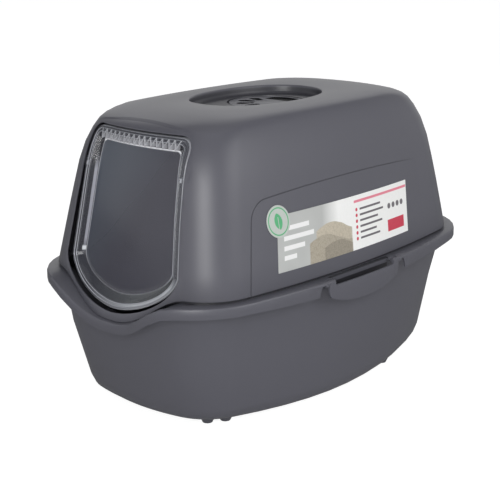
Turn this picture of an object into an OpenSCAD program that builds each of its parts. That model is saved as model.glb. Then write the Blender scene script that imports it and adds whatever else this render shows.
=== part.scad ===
// Hooded litter box: an open tray, a lift-off hood with a clear swing flap, two side clips
// and a round vent cover with its filter pad in the roof. The front faces -Y and +Z is up.

/* [Box] */
// Length over the rim, front to back
rim_length = 570; // [560:1:580]
// Width over the rim at mid length
rim_width = 352; // [348:1:358]
// Height of the top face of the rim above the floor
rim_height = 167; // [165:1:169]
// Height of the roof above the floor
roof_height = 361; // [358:1:366]
// Thickness of the moulded walls
wall = 2.6; // [2.2:0.1:3]

/* [Tray] */
// Height of the small moulded feet
foot_h = 5; // [4:0.5:6]
// How far the rim dips in the middle of the front
rim_dip = 37.5; // [34:0.5:39]
// Depth of the rim's skirt at the corners
skirt_depth = 12.5; // [11:0.5:14]
// How much deeper the skirt is at mid length
skirt_extra = 5; // [3:0.5:6]

/* [Hood] */
// How far each side leans in from the rim to the roof
side_lean = 43; // [42:0.1:45]
// How far the front leans back from the rim to the roof
front_lean = 34.6; // [33:0.1:36]
// Extra lean of the front towards the roof
front_curve = 5.6; // [4:0.1:7]
// Half width of the oval hollow in the roof
hollow_half_w = 63; // [61:1:64]
// Half length of the oval hollow in the roof
hollow_half_l = 99; // [96:1:101]
// Depth of the oval hollow
hollow_depth = 11.5; // [10:0.5:13]

/* [Door] */
// Height of the flap's top edge above the floor
door_top = 341.5; // [340:0.5:342]
// Height of the lowest point of the flap
door_bottom = 142; // [141:0.5:143]
// Half width of the flap where it is widest
door_half_w = 87; // [86:0.5:88]
// Half width of the flap near its top
door_half_top = 78; // [77:0.5:79]
// Gap all round the flap
door_gap = 2.8; // [2.6:0.1:3]
// Height of the hinge pins above the floor
pin_z = 297.5; // [296:0.5:299]
// Radius of the flap's hinge pins
pin_r = 2.5; // [2:0.1:2.6]

/* [Clips] */
// Length of each half-moon clip
clip_length = 137; // [132:1:140]
// Lowest point of the clip above the floor
clip_bottom = 134.5; // [133:0.5:137]
// Radius of the clip's two hinge pins
clip_pin_r = 1.5; // [1.3:0.1:1.6]

/* [Vent] */
// Radius of the round seat in the hollow's floor
vent_r = 53; // [51:0.5:54]
// Number of rounded holes in the vent cover's ring, before the finger slot is left out
hole_count = 10; // [8:1:10]

/* [Hidden] */
$fn = 64;

// Plain colours of the pieces
body_grey = [0.37, 0.37, 0.41];
clear_grey = [0.62, 0.64, 0.68, 0.45];
pad_black = [0.10, 0.10, 0.10];
label_white = [0.90, 0.90, 0.88];
sticker_green = [0.42, 0.62, 0.32];

// Counts of points along a level outline
SIDE_N = 5;
END_N = 8;
CORNER_N = 8;
// Half length, half width and the bow of the rim's outline
HALF_L = rim_length / 2;
HALF_W = rim_width / 2;
RIM_BOW = 17;
RIM_CORNER = 106;
// Half width at which the front dip of the rim begins, and of the hood over it
DIP_HALF = 104;
// How full the dip's curve is; 1 is a plain wave
DIP_FULL = 1.3;
// Moves the whole box so that its length is centred on the origin
MID_Y = -2.31;
// Thickness of the rim's flange
FLANGE = 3.2;
// How far the rim and the tray's front wall draw back for each millimetre of dip
RIM_DRAW = 0.29;
WALL_DRAW = 0.125;
// Hood: half width, front and back reach at rim height, corner radius and bows
HOOD_W = 161.5;
HOOD_F = 262.5;
HOOD_K = 257;
BACK_LEAN = 25.6;
BACK_CURVE = 16.3;
HOOD_CORNER = 66;
HOOD_SIDE_BOW = 13.4;
HOOD_END_BOW = 7.4;
// Height and inward reach of the shoulder's and the roof edge's rounding, on the sides and ends
SIDE_SHOULDER = [70, 20];
SIDE_EDGE = [4.3, 22.5];
END_SHOULDER = [62, 24];
END_EDGE = [15, 48];
// Shadow groove under the hood's outer wall
GROOVE_IN = 3.5;
GROOVE_H = 3.4;
// Depth of the locating lip below the rim's top face
LIP_DEPTH = 10;
LIP_GAP = 1;
// Flap: setback behind the hood's face, depth of its edge return and of its sunk pane
DOOR_SET = 3.2;
DOOR_RETURN = 8;
PANE_DEPTH = 9.5;
DOOR_SHELL = 2;
DOOR_SHOULDER_Z = 192;
DOOR_CURVE = 1.75;
DOOR_CORNER = 14;
// How far the flap and its doorway swell out beside the shoulder, how much deeper the flap lies
// there, and how far the doorway widens behind the hood's face
FLAP_SWELL = 1.5;
DOORWAY_SWELL = 3.2;
DOOR_SINK = 1.3;
DOOR_FLARE = 2.4;
DOOR_N = 12;
PIN_IN = 9;
BOSS_R = 6;
RIB_COUNT = 15;
RIB_PITCH = 8.6;
RIB_TILT = 23;
// Clips: place along the side, width of each arm, round knuckle round each pin, and the notch
// and the bored cheek of the rim at each end
CLIP_Y = -11.5;
ARM_L = 10.5;
KNUCKLE_R = 2.8;
CLIP_PIN_Z = rim_height - KNUCKLE_R;
NOTCH_W = 17;
CHEEK_L = 6;
PANEL_T = 2.4;
SLOT_BOTTOM = rim_height - 6.9;
// The slot above the grip: how far its back lies behind the pins, and the thickness and the
// depth of the rib that closes it
SLOT_BACK = 8.6;
SLOT_RIB = 2.4;
SLOT_RIB_H = 10;
// Clearance of a pin in its bore, and between pieces that move past each other
FIT = 0.05;
BODY_GAP = 0.4;
// Radius of the rim's bow along the sides
BOW_R = pow(HALF_L - RIM_CORNER, 2) / (2 * RIM_BOW);
// Vent: place along the roof
VENT_Y = 10;
HOLLOW_Y = -12;
HOLLOW_Z = roof_height - hollow_depth;
CUP_DEPTH = 11;
CUP_LEDGE = 7;
COVER_R = vent_r - 2.5;
PAD_H = 7.8;
// Label: ends of its lower edge along the side, heights, and how far its top lies to the rear
LABEL_Y = [-146, 107];
LABEL_Z = [187, 250];
LABEL_SKEW = 11;
STICKER_Y = -134.5;
STICKER_Z = 244;
STICKER_R = 18.3;
FILM = 0.35;

// ---- level outlines -------------------------------------------------------------------

// One long side, bowed outwards, run anticlockwise; sx is the side's sign
function side_run(sx, a, bow, yc, h, r) = [for (i = [-SIDE_N : SIDE_N])
    let (s = sx * i / SIDE_N, t = 2 * bow * s / h, q = norm([1, t]))
    [sx * (a - bow * s * s + r / q), yc + s * h + r * t / q]];

// One end, bowed outwards; sy is the end's sign
function end_run(sy, half, e, bow, r) = [for (i = [-END_N : END_N])
    let (s = -sy * i / END_N, t = 2 * bow * s / half, q = norm([t, 1]))
    [s * half + r * t / q, sy * (e - bow * s * s + r / q)]];

function corner(cx, cy, r, a0, a1) = [for (i = [1 : CORNER_N - 1])
    let (a = a0 + (a1 - a0) * i / CORNER_N) [cx + r * cos(a), cy + r * sin(a)]];

// Bowed outline with round corners: half width w, front reach f, back reach k, corner radius r,
// bow of the sides bs and of the ends be
function outline(w, f, k, r, bs, be) =
    let (a = w - r, xe = a - bs, yc = (k - f) / 2, h = (k + f) / 2 - r - be,
         yb = yc + h, yf = yc - h, ts = atan(2 * bs / h), te = atan(2 * be / xe))
    concat(side_run(1, a, bs, yc, h, r), corner(xe, yb, r, ts, 90 - te),
           end_run(1, xe, k - r, be, r), corner(-xe, yb, r, 90 + te, 180 - ts),
           side_run(-1, a, bs, yc, h, r), corner(-xe, yf, r, 180 + ts, 270 - te),
           end_run(-1, xe, f - r, be, r), corner(xe, yf, r, 270 + te, 360 - ts));

module centred() {
    translate([0, MID_Y, 0]) children();
}

// Depth of the front dip at x
function dip(x, y, half) = (y < 0 && abs(x) < half)
    ? 0.5 + 0.5 * cos(180 * pow(abs(x) / half, DIP_FULL)) : 0;

// Lifts an outline to height z, sunk by depth in the front dip and drawn back as it sinks
function level(o, z, depth = 0, half = DIP_HALF, draw = 0) =
    [for (p = o) let (d = depth * dip(p[0], p[1], half)) [p[0], p[1] + draw * d, z - d]];

// Solid between stacked rings of equal count, closed by a flat face at each end
module loft(rings) {
    n = len(rings[0]);
    m = len(rings);
    sides = [for (k = [0 : m - 2], i = [0 : n - 1]) let (j = (i + 1) % n) each [
        [k * n + i, (k + 1) * n + i, (k + 1) * n + j],
        [k * n + i, (k + 1) * n + j, k * n + j]]];
    bottom = [for (i = [0 : n - 1]) i];
    top = [for (i = [n - 1 : -1 : 0]) (m - 1) * n + i];
    polyhedron(points = [for (r = rings) each r], faces = concat([bottom], sides, [top]),
               convexity = 8);
}

// ---- tray -----------------------------------------------------------------------------

// Half width, reach, corner radius and bows of the tray's outer wall at a share t of the bowl's
// round foot, and above it up to the rim
BOWL_Z = 28;
FLOOR_Z = foot_h;
function bowl(t) = let (s = sqrt(1 - pow(1 - t, 2)))
    [132 + 20 * s, 198 + 42 * s, 65.6, 33, 6];
function tray_outline(v, inset) =
    outline(v[0] - inset, v[1] - inset, v[1] - v[5] - inset, v[2] - inset, v[3], v[4]);
function bowl_ring(t, inset, lift) = let (v = bowl(t))
    level(tray_outline([v[0], v[1], v[2], v[3], v[4], 0], inset),
          FLOOR_Z + (BOWL_Z - FLOOR_Z) * t + lift * (1 - t));
WAIST = [154, 255, 66, 25, 4, 7];
MOUTH = [156.5, 258, 61, 15, 6, 3.5];
WAIST_Z = 100;
function rim_outline(inset) =
    outline(HALF_W - inset, HALF_L - inset, HALF_L - inset, RIM_CORNER - inset, RIM_BOW, 0.5);
// The skirt hangs deeper towards mid length
function skirt_level(o, z) = [for (p = o)
    let (d = rim_dip * dip(p[0], p[1], DIP_HALF), s = max(0, 1 - pow(p[1] / 200, 2)))
    [p[0], p[1] + RIM_DRAW * d, z - d - skirt_extra * s]];
function mouth_ring(inset, z, depth, half) =
    level(tray_outline(MOUTH, inset), z, depth, half, WALL_DRAW);

FOOT_SPOTS = [[77, -189], [89, -171], [119, 104], [110, 126]];

module tray_shell() {
    ts = [0, 0.1, 0.28, 0.55, 1];
    under = rim_height - FLANGE;
    loft(concat(
        [for (t = ts) bowl_ring(t, 0, 0)],
        [level(tray_outline(WAIST, 0), WAIST_Z, 5, DIP_HALF, WALL_DRAW)],
        [mouth_ring(0, under, rim_dip, DIP_HALF)],
        [level(rim_outline(2.4), under, rim_dip, DIP_HALF, RIM_DRAW)],
        [skirt_level(rim_outline(2.2), rim_height - skirt_depth)],
        [skirt_level(rim_outline(0), rim_height - skirt_depth - 0.4)],
        [level(rim_outline(0), rim_height - 2.6, rim_dip, DIP_HALF, RIM_DRAW)],
        [level(rim_outline(0.8), rim_height - 0.8, rim_dip, DIP_HALF, RIM_DRAW)],
        [level(rim_outline(2.8), rim_height, rim_dip, DIP_HALF, RIM_DRAW)],
        [mouth_ring(wall, rim_height, rim_dip, DIP_HALF)],
        [level(tray_outline(WAIST, wall), WAIST_Z, 5, DIP_HALF, WALL_DRAW)],
        [for (i = [len(ts) - 1 : -1 : 0]) bowl_ring(ts[i], wall, wall)]));
}

// Outer face of the rim at y along the right-hand side
function rim_x(y) = HALF_W - BOW_R + sqrt(BOW_R * BOW_R - y * y);
CLIP_HALF = clip_length / 2;
ARM_Y = CLIP_HALF - ARM_L / 2;
CLIP_X0 = rim_x(CLIP_Y - ARM_Y) - KNUCKLE_R - 0.1;
CLIP_X1 = rim_x(CLIP_Y + ARM_Y) - KNUCKLE_R - 0.1;
CLIP_TILT = atan((CLIP_X1 - CLIP_X0) / (2 * ARM_Y));
PIN_END = CLIP_HALF + CHEEK_L - 1.2;

// Places children on the line of the clip's pins, which runs along their Y axis
module at_pins() {
    translate([(CLIP_X0 + CLIP_X1) / 2, CLIP_Y, CLIP_PIN_Z])
        rotate([0, 0, -CLIP_TILT]) children();
}

module pin_cylinder(half, r) {
    translate([0, -half, 0])
        rotate([-90, 0, 0]) cylinder(h = 2 * half, r = r);
}

// Notch in the skirt beside the clip, round at its top, as [y, z] from the clip's end
function notch(sy) = concat(
    [[sy * (NOTCH_W + 1), -36], [sy * (NOTCH_W - 1), -12]],
    [for (i = [0 : 6]) let (a = 30 * i) [sy * (8 + 6.5 * cos(a)), -9 + 5.5 * sin(a)]],
    [[sy * 1.2, -36]]);

// The skirt is left out behind the clip and in both notches, and the flange is cut back to
// clear the knuckles
module clip_bay() {
    under = rim_height - FLANGE;
    translate([HALF_W - 14, CLIP_Y - CLIP_HALF - 2, clip_bottom - 6])
        cube([30, clip_length + 4, under - clip_bottom + 6]);
    for (sy = [-1, 1])
        translate([HALF_W - 14, CLIP_Y + sy * CLIP_HALF, rim_height])
            rotate([90, 0, 90]) linear_extrude(height = 30) polygon(notch(sy));
    at_pins() {
        translate([-KNUCKLE_R - BODY_GAP, -CLIP_HALF - BODY_GAP, -8])
            cube([20, clip_length + 2 * BODY_GAP, 14]);
        translate([-SLOT_BACK, -CLIP_HALF + ARM_L, -8])
            cube([20, clip_length - 2 * ARM_L, 14]);
    }
}

// Rib that closes the back of the clip's slot, and the cheeks that hold the pins
module clip_seat() {
    x0 = -SLOT_BACK - SLOT_RIB;
    at_pins() {
        translate([x0, -CLIP_HALF - CHEEK_L, -SLOT_RIB_H])
            cube([SLOT_RIB, clip_length + 2 * CHEEK_L, SLOT_RIB_H + 1]);
        for (sy = [-1, 1])
            translate([x0, sy * (CLIP_HALF + BODY_GAP + CHEEK_L / 2) - CHEEK_L / 2, -3.4])
                cube([-x0 + KNUCKLE_R - 0.2, CHEEK_L, 3.4 + 0.4]);
    }
}

module tray() {
    color(body_grey)
    centred() {
        difference() {
            union() {
                difference() {
                    tray_shell();
                    for (sx = [0, 1]) mirror([sx, 0, 0]) clip_bay();
                }
                for (sx = [0, 1]) mirror([sx, 0, 0]) clip_seat();
                for (sx = [-1, 1], p = FOOT_SPOTS)
                    translate([sx * p[0], p[1], 0]) cylinder(h = FLOOR_Z + 1.2, r1 = 6, r2 = 9);
            }
            for (sx = [0, 1]) mirror([sx, 0, 0])
                at_pins() pin_cylinder(PIN_END + 0.4, clip_pin_r + FIT);
        }
    }
}

// ---- hood -----------------------------------------------------------------------------

function rise(z) = (z - rim_height) / (roof_height - rim_height);
function ease(z, e) = let (q = min(1, max(0, (z - roof_height + e[0]) / e[0])))
    e[1] * (1 - sqrt(1 - q * q));
function side_draw(z) = ease(z, SIDE_SHOULDER) + ease(z, SIDE_EDGE);
function end_draw(z) = ease(z, END_SHOULDER) + ease(z, END_EDGE);
function hood_w(z) = HOOD_W - side_lean * rise(z) - side_draw(z);
function hood_f(z) = HOOD_F - front_lean * rise(z) - front_curve * pow(rise(z), 3) - end_draw(z);
function hood_k(z) = HOOD_K - BACK_LEAN * rise(z) - BACK_CURVE * pow(rise(z), 3) - end_draw(z);
function hood_r(z) = HOOD_CORNER - 6.4 * min(1, rise(z) / 0.68);
function hood_bs(z) = HOOD_SIDE_BOW - 7.3 * rise(z);
function hood_be(z) = HOOD_END_BOW - 2.2 * rise(z);
function hood_outline(z, inset = 0) =
    outline(hood_w(z) - inset, hood_f(z) - inset, hood_k(z) - inset, hood_r(z) - inset,
            hood_bs(z), hood_be(z));
// The front face, at x and height z
function front_y(x, z) =
    let (r = hood_r(z), xe = hood_w(z) - r - hood_bs(z), ax = abs(x), s = min(1, ax / xe),
         base = hood_f(z) - r - hood_be(z) * s * s, over = max(0, ax - xe))
    -(base + sqrt(r * r - over * over));
// The right-hand face, at y and height z
function side_x(y, z) =
    let (k = hood_k(z), f = hood_f(z), r = hood_r(z), yc = (k - f) / 2,
         h = (k + f) / 2 - r - hood_be(z), s = min(1, abs(y - yc) / h),
         over = max(0, abs(y - yc) - h))
    hood_w(z) - r - hood_bs(z) * s * s + sqrt(r * r - over * over);

FACE_DRAW = -front_lean / (roof_height - rim_height);
EDGE_Z = rim_height + GROOVE_H;
HOOD_DIP = rim_dip + 2.7;
FOOT_DIP = rim_dip - 1.2;
FOOT_HALF = DIP_HALF - 6;
// Heights of the hood's rings and the share of the front dip that each follows
HOOD_RINGS = [[200, 0.74], [235, 0.42], [265, 0.16], [295, 0], [318, 0], [335, 0], [346, 0],
              [351, 0], [354.8, 0], [357.4, 0], [359.2, 0], [roof_height - 0.6, 0],
              [roof_height, 0]];
function hood_ring(z, inset, drop, depth, half = DIP_HALF) =
    level(hood_outline(z, inset), z - drop, depth, half, FACE_DRAW);

module hood_shell() {
    n = len(HOOD_RINGS);
    loft(concat(
        [for (i = [n - 1 : -1 : 0]) let (v = HOOD_RINGS[i], q = max(0, min(1, (v[0] - 318) / 36)))
            hood_ring(v[0], wall, wall * q, HOOD_DIP * v[1])],
        [hood_ring(EDGE_Z + 3.6, wall + 0.4, 0, HOOD_DIP)],
        [mouth_ring(wall + LIP_GAP + 2.4, EDGE_Z + 1, HOOD_DIP, DIP_HALF)],
        [mouth_ring(wall + LIP_GAP + 6, rim_height - LIP_DEPTH, HOOD_DIP, DIP_HALF)],
        [mouth_ring(wall + LIP_GAP + 3.8, rim_height - LIP_DEPTH, HOOD_DIP, DIP_HALF)],
        [mouth_ring(wall + LIP_GAP, rim_height, FOOT_DIP, FOOT_HALF)],
        [hood_ring(rim_height, GROOVE_IN, 0, FOOT_DIP, FOOT_HALF)],
        [hood_ring(EDGE_Z, GROOVE_IN, 0, HOOD_DIP)],
        [hood_ring(EDGE_Z, 0, 0, HOOD_DIP)],
        [for (v = HOOD_RINGS) hood_ring(v[0], 0, 0, HOOD_DIP * v[1])]));
}

// Half width of the flap's outline at height z, grown by g
function flap_half(z) = z >= DOOR_SHOULDER_Z
    ? door_half_w + (door_half_top - door_half_w) * (z - DOOR_SHOULDER_Z) / (door_top - DOOR_SHOULDER_Z)
    : door_half_w * pow(max(0, 1 - pow((DOOR_SHOULDER_Z - z) / (DOOR_SHOULDER_Z - door_bottom),
                                       DOOR_CURVE)), 1 / DOOR_CURVE);
// Right half of the flap's outline, from the lowest point up to the middle of the top, moved
// out by g
function flap_half_points(g, swell) = concat(
    [for (i = [0 : DOOR_N]) let (a = 90 * i / DOOR_N, c = cos(a), s = sin(a), e = 2 / DOOR_CURVE)
        [(door_half_w + g + swell) * pow(s, e),
         DOOR_SHOULDER_Z - (DOOR_SHOULDER_Z - door_bottom + g) * pow(c, e)]],
    [for (i = [1 : 6]) let (z = DOOR_SHOULDER_Z + (door_top - DOOR_CORNER - DOOR_SHOULDER_Z) * i / 6)
        [flap_half(z) + g + swell * max(0, 1 - (z - DOOR_SHOULDER_Z) / 55), z]],
    [for (i = [1 : 5]) let (a = 18 * i, r = DOOR_CORNER + g,
                            cx = flap_half(door_top - DOOR_CORNER) - DOOR_CORNER)
        [cx + r * cos(a), door_top - DOOR_CORNER + r * sin(a)]],
    [for (i = [3 : -1 : 0]) [(flap_half(door_top - DOOR_CORNER) - DOOR_CORNER) * i / 4, door_top + g]]);
function flap_outline(g, swell = FLAP_SWELL) = let (p = flap_half_points(g, swell), n = len(p)) concat(
    p, [for (i = [n - 2 : -1 : 1]) [-p[i][0], p[i][1]]]);

// Opening for the flap, cut back through the hood's face; beside the shoulder it widens behind it
function flare(z) = DOOR_FLARE * min(1, max(0, (280 - z) / 30)) * min(1, max(0.3, (z - 152) / 30));
function doorway_ring(g, deep) = [for (p = flap_outline(g, DOORWAY_SWELL))
    let (t = DOOR_SHOULDER_Z + 40, q = [p[0], p[1] - t], f = deep > 1 ? flare(p[1]) / norm(q) : 0)
    [p[0] + q[0] * f, front_y(p[0], p[1]) + deep, p[1] + q[1] * f]];
module doorway(g) {
    inner = doorway_ring(g, wall + 0.4);
    loft([[for (p = inner) [p[0], -160, p[2]]], inner, doorway_ring(g, 0.2),
          [for (p = flap_outline(g, DOORWAY_SWELL)) [p[0], -300, p[1]]]]);
}

PIN_Y = front_y(door_half_top + 3, pin_z) + PIN_IN;
PIN_X = flap_half(pin_z);

function oval(half_w, half_l, n = 64) = [for (i = [0 : n - 1])
    let (a = 360 * i / n, c = cos(a), s = sin(a), e = 2 / 2.2)
    [half_w * sign(c) * pow(abs(c), e), half_l * sign(s) * pow(abs(s), e)]];

function oval_ring(grow, z) = [for (p = oval(hollow_half_w + grow, hollow_half_l + grow))
    [p[0], HOLLOW_Y + p[1], z]];

module hollow_pan() {
    translate([0, HOLLOW_Y, HOLLOW_Z - wall])
        linear_extrude(height = hollow_depth + wall - 0.3)
            polygon(oval(hollow_half_w + wall, hollow_half_l + wall));
    translate([0, VENT_Y, HOLLOW_Z - CUP_DEPTH - wall])
        cylinder(h = CUP_DEPTH + wall, r = vent_r + wall);
}

// The hollow has a rounded foot and a rounded lip
module hollow_cut() {
    loft([oval_ring(-4.5, HOLLOW_Z), oval_ring(-1.8, HOLLOW_Z + 0.9), oval_ring(-0.4, HOLLOW_Z + 3),
          oval_ring(0, HOLLOW_Z + 5), oval_ring(0, roof_height - 2), oval_ring(0.5, roof_height - 0.8),
          oval_ring(1.8, roof_height + 0.1), oval_ring(2, roof_height + 2)]);
    translate([0, VENT_Y, HOLLOW_Z - CUP_DEPTH])
        cylinder(h = CUP_DEPTH + 1, r = vent_r);
    translate([0, VENT_Y, HOLLOW_Z - CUP_DEPTH - 2 * wall])
        cylinder(h = 3 * wall, r = vent_r - CUP_LEDGE);
}

module hood() {
    color(body_grey)
    centred() difference() {
        union() {
            difference() {
                union() {
                    hood_shell();
                    hollow_pan();
                }
                doorway(door_gap);
            }
            for (sx = [-1, 1])
                translate([sx * (PIN_X + door_gap + 2.6), PIN_Y, pin_z])
                    rotate([0, 90, 0]) cylinder(h = 5.2, r = BOSS_R, center = true);
        }
        hollow_cut();
        for (sx = [-1, 1])
            translate([sx * (PIN_X + door_gap + 1.2), PIN_Y, pin_z])
                rotate([0, 90, 0]) cylinder(h = 6.4, r = pin_r + FIT, center = true);
    }
}

// ---- flap -----------------------------------------------------------------------------

// Ring of the flap's face: the outline moved in by g, its points set behind the hood's face
function door_set(z) = DOOR_SET + DOOR_SINK * min(1, max(0, (300 - z) / 105));
function face_ring(g, set) = [for (p = flap_outline(-g))
    [p[0], front_y(p[0], p[1]) + door_set(p[1]) + set, p[1]]];
// Ring of the pane, drawn towards its middle by share s
PANE_MID = 245;
PANE_EDGE = 15;
function pane_ring(s, set) = [for (p = flap_outline(-PANE_EDGE))
    let (x = p[0] * s, z = PANE_MID + (p[1] - PANE_MID) * s)
    [x, front_y(x, z) + door_set(z) + PANE_DEPTH + set, z]];

module flap_shell() {
    loft([
        pane_ring(0.03, DOOR_SHELL), pane_ring(0.35, DOOR_SHELL), pane_ring(0.7, DOOR_SHELL),
        pane_ring(1, DOOR_SHELL),
        face_ring(7.5, DOOR_SHELL), face_ring(2.2, DOOR_SHELL), face_ring(2.2, DOOR_RETURN),
        face_ring(0, DOOR_RETURN), face_ring(0, 0.6), face_ring(0.6, 0), face_ring(6.5, 0),
        pane_ring(1, 0), pane_ring(0.7, 0), pane_ring(0.35, 0), pane_ring(0.03, 0)]);
}

module door_flap() {
    color(clear_grey)
    centred() {
        flap_shell();
        for (sx = [-1, 1])
            translate([sx * (PIN_X + 2.1), PIN_Y, pin_z])
                rotate([0, 90, 0]) cylinder(h = 9.8, r = pin_r, center = true);
        for (i = [0 : RIB_COUNT - 1]) let (x = (i - (RIB_COUNT - 1) / 2) * RIB_PITCH)
            translate([x, front_y(x, door_top - 9) + door_set(door_top) + 2.4, door_top - 9.6])
                rotate([-RIB_TILT, 0, 0]) cube([1.8, 4.4, 11.5], center = true);
    }
}

// ---- clips ----------------------------------------------------------------------------

// Outline of the grip panel with its two arms, as [y, z] from the clip's middle
function grip_bottom(s) = clip_bottom + 10.5 * pow(abs(s), 2.6);
module grip_face() {
    low = CLIP_HALF - 4;
    translate([CLIP_Y, 0]) polygon(concat(
        [for (i = [-8 : 8]) [low * i / 8, grip_bottom(i / 8)]],
        [[CLIP_HALF - 1, grip_bottom(1) + 4.5], [CLIP_HALF, grip_bottom(1) + 10],
         [CLIP_HALF, CLIP_PIN_Z], [CLIP_HALF - ARM_L, CLIP_PIN_Z],
         [CLIP_HALF - ARM_L, SLOT_BOTTOM + 1.5], [CLIP_HALF - ARM_L - 1.5, SLOT_BOTTOM]],
        [[-CLIP_HALF + ARM_L + 1.5, SLOT_BOTTOM], [-CLIP_HALF + ARM_L, SLOT_BOTTOM + 1.5],
         [-CLIP_HALF + ARM_L, CLIP_PIN_Z], [-CLIP_HALF, CLIP_PIN_Z],
         [-CLIP_HALF, grip_bottom(1) + 10], [-CLIP_HALF + 1, grip_bottom(1) + 4.5]]));
}

module clip_right() {
    color(body_grey)
    centred() {
        // grip panel, bowed in plan like the rim
        intersection() {
            translate([HALF_W - 40, 0, 0])
                rotate([90, 0, 90]) linear_extrude(height = 60) grip_face();
            translate([HALF_W - BOW_R, 0, 0]) difference() {
                cylinder(h = rim_height, r = BOW_R, $fn = 720);
                translate([0, 0, -1]) cylinder(h = rim_height + 2, r = BOW_R - PANEL_T, $fn = 720);
            }
        }
        at_pins() {
            for (sy = [-1, 1])
                translate([0, sy * ARM_Y, 0]) pin_cylinder(ARM_L / 2, KNUCKLE_R);
            for (sy = [-1, 1])
                translate([0, sy * (CLIP_HALF - ARM_L + PIN_END) / 2, 0])
                    pin_cylinder((PIN_END - CLIP_HALF + ARM_L) / 2, clip_pin_r);
        }
    }
}

module clip_left() {
    mirror([1, 0, 0]) clip_right();
}

// ---- vent and filter ------------------------------------------------------------------

module vent_cover() {
    top = HOLLOW_Z - 0.5;
    plate = 1.8;
    // inner and outer end of each hole, as distance from the middle and radius
    hole_in = [24, 5.2];
    hole_out = [34.5, 7];
    color(body_grey)
    centred() translate([0, VENT_Y, 0]) difference() {
        union() {
            translate([0, 0, top - plate]) cylinder(h = plate, r = COVER_R);
            translate([0, 0, HOLLOW_Z - CUP_DEPTH])
                cylinder(h = CUP_DEPTH - 1, r = COVER_R);
        }
        translate([0, 0, HOLLOW_Z - CUP_DEPTH - 1])
            cylinder(h = CUP_DEPTH + 0.5 - plate, r = COVER_R - 2.4);
        for (i = [0 : hole_count - 1]) let (a = 360 * (i + 0.5) / hole_count) if (sin(a) < 0.5)
            rotate([0, 0, a]) hull() for (e = [hole_in, hole_out])
                translate([e[0], 0, top - 6]) cylinder(h = 12, r = e[1]);
        // finger slot towards the back
        intersection() {
            translate([0, 0, top - 6]) cylinder(h = 12, r = COVER_R - 3.4);
            translate([-25, 20, top - 7]) cube([50, 40, 14]);
        }
    }
}

module filter_pad() {
    color(pad_black)
    centred() translate([0, VENT_Y, HOLLOW_Z - CUP_DEPTH])
        cylinder(h = PAD_H, r = COVER_R - 3);
}

// ---- label and sticker ----------------------------------------------------------------

// Thin film on the right-hand face over a grid of points [y, z]
module film(rows, lift) {
    n = len(rows[0]);
    m = len(rows);
    pts = concat([for (row = rows) for (p = row) [side_x(p[0], p[1]) + lift, p[0], p[1]]],
                 [for (row = rows) for (p = row) [side_x(p[0], p[1]) + lift + FILM, p[0], p[1]]]);
    t = n * m;
    grid = [for (k = [0 : m - 2], i = [0 : n - 2]) each [
        [k * n + i, k * n + i + 1, (k + 1) * n + i + 1], [k * n + i, (k + 1) * n + i + 1, (k + 1) * n + i],
        [t + k * n + i, t + (k + 1) * n + i + 1, t + k * n + i + 1],
        [t + k * n + i, t + (k + 1) * n + i, t + (k + 1) * n + i + 1]]];
    edge = concat([for (i = [0 : n - 1]) i], [for (k = [1 : m - 1]) k * n + n - 1],
                  [for (i = [n - 2 : -1 : 0]) (m - 1) * n + i], [for (k = [m - 2 : -1 : 1]) k * n]);
    walls = [for (i = [0 : len(edge) - 1]) let (a = edge[i], b = edge[(i + 1) % len(edge)]) each [
        [a, t + b, b], [a, t + a, t + b]]];
    polyhedron(points = pts, faces = concat(grid, walls), convexity = 4);
}

module side_label() {
    color(label_white)
    centred() film([for (k = [0 : 3]) [for (i = [0 : 24])
        [LABEL_Y[0] + (LABEL_Y[1] - LABEL_Y[0]) * i / 24 + LABEL_SKEW * k / 3,
         LABEL_Z[0] + (LABEL_Z[1] - LABEL_Z[0]) * k / 3]]], 0.3);
}

module round_sticker() {
    color(sticker_green)
    centred() film([for (k = [0 : 16]) let (a = -84 + 10.5 * k, c = STICKER_R * cos(a))
        [for (i = [0 : 6]) [STICKER_Y + c * (i / 3 - 1), STICKER_Z + STICKER_R * sin(a)]]], 0.75);
}

tray();
hood();
door_flap();
clip_right();
clip_left();
vent_cover();
filter_pad();
side_label();
round_sticker();
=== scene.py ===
import math

import bpy
from bpy.props import FloatProperty, FloatVectorProperty, IntProperty, PointerProperty
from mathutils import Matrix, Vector


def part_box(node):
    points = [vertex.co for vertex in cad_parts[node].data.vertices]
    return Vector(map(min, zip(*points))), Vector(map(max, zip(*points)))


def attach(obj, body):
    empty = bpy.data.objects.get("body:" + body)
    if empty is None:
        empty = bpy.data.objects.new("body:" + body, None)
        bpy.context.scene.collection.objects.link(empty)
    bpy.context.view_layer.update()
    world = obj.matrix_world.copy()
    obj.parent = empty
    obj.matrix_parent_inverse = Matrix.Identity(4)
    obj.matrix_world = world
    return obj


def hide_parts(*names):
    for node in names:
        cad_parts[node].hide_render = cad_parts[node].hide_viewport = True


bl_info = {
    "name": "Hooded Litter Box",
    "version": (1, 0, 0),
    "blender": (4, 5, 0),
    "location": "3D View > Sidebar > Litter Box",
    "description": "Dresses the hooded litter box: tray, hood, clear flap, clips, vent and label",
    "category": "Object",
}

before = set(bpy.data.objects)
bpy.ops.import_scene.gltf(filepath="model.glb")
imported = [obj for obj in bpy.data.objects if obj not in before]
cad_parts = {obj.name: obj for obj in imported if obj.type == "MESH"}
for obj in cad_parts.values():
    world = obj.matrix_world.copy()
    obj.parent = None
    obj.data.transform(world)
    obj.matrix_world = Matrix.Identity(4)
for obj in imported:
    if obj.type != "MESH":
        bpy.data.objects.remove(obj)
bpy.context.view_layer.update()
MM = 0.001
# Index of refraction of the moulded plastics
PLASTIC_IOR = 1.49


# ---- sizes and colours ------------------------------------------------------------------


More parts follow.
